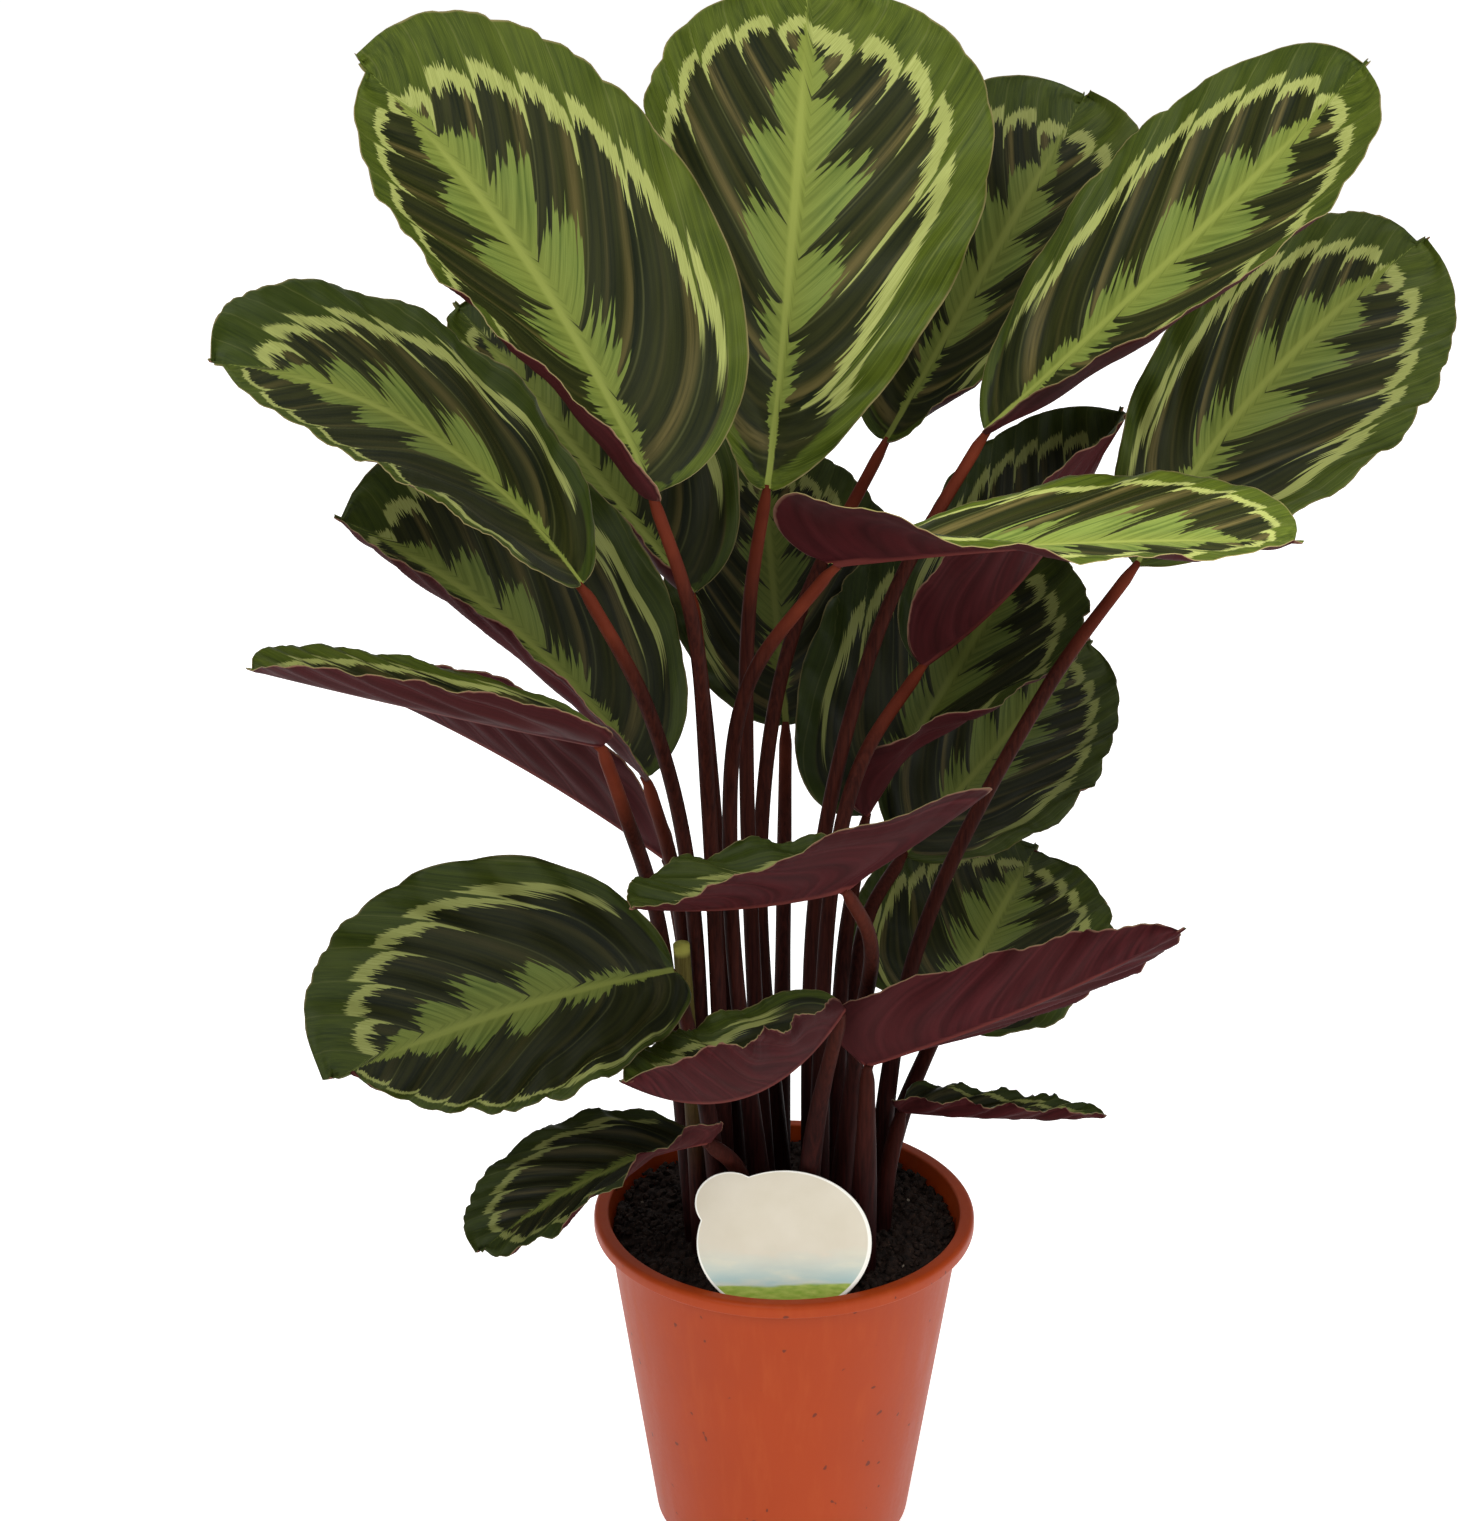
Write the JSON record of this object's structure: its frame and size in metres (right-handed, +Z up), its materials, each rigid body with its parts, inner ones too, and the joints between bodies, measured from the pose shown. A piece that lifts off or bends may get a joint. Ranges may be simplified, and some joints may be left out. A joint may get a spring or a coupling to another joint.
{
  "type": "potted calathea",
  "caption": "Potted patterned-leaf calathea: oval feathered leaves with purple undersides on thin dark stalks, standing in soil in a tapered round plastic pot with a plant label.",
  "frame": {"origin": "centre of the flat underside of the pot", "axes": "+Z up along the pot's axis, -Y towards the viewer of the picture (the label's side), +X to the viewer's right"},
  "size_m": [0.5669, 0.3585, 0.8011],
  "materials": {
    "leaf": "satin",
    "stalk": "satin",
    "pot_plastic": "satin",
    "soil": "matte",
    "label_card": "satin"
  },
  "bodies": {
    "root": {"pot": "pot_plastic", "potting_soil": "soil", "plant_label": "label_card", "cut_stem": "stalk", "stalk_top_centre": "stalk", "blade_top_centre": "leaf", "stalk_top_left": "stalk", "blade_top_left": "leaf", "stalk_upper_left": "stalk", "blade_upper_left": "leaf", "stalk_back_left": "stalk", "blade_back_left": "leaf", "stalk_mid_left": "stalk", "blade_mid_left": "leaf", "stalk_left_reach": "stalk", "blade_left_reach": "leaf", "stalk_left_under": "stalk", "blade_left_under": "leaf", "stalk_low_left": "stalk", "blade_low_left": "leaf", "stalk_rim_left": "stalk", "blade_rim_left": "leaf", "stalk_low_front": "stalk", "blade_low_front": "leaf", "stalk_back_right": "stalk", "blade_back_right": "leaf", "stalk_top_right": "stalk", "blade_top_right": "leaf", "stalk_far_right": "stalk", "blade_far_right": "leaf", "stalk_right_shelf": "stalk", "blade_right_shelf": "leaf", "stalk_right_fold": "stalk", "blade_right_fold": "leaf", "stalk_centre_right": "stalk", "blade_centre_right": "leaf", "stalk_back_low_right": "stalk", "blade_back_low_right": "leaf", "stalk_low_right": "stalk", "blade_low_right": "leaf", "stalk_right_under": "stalk", "blade_right_under": "leaf", "stalk_front_under": "stalk", "blade_front_under": "leaf", "stalk_rim_right": "stalk", "blade_rim_right": "leaf", "stalk_back_centre": "stalk", "blade_back_centre": "leaf"}
  },
  "joints": []
}
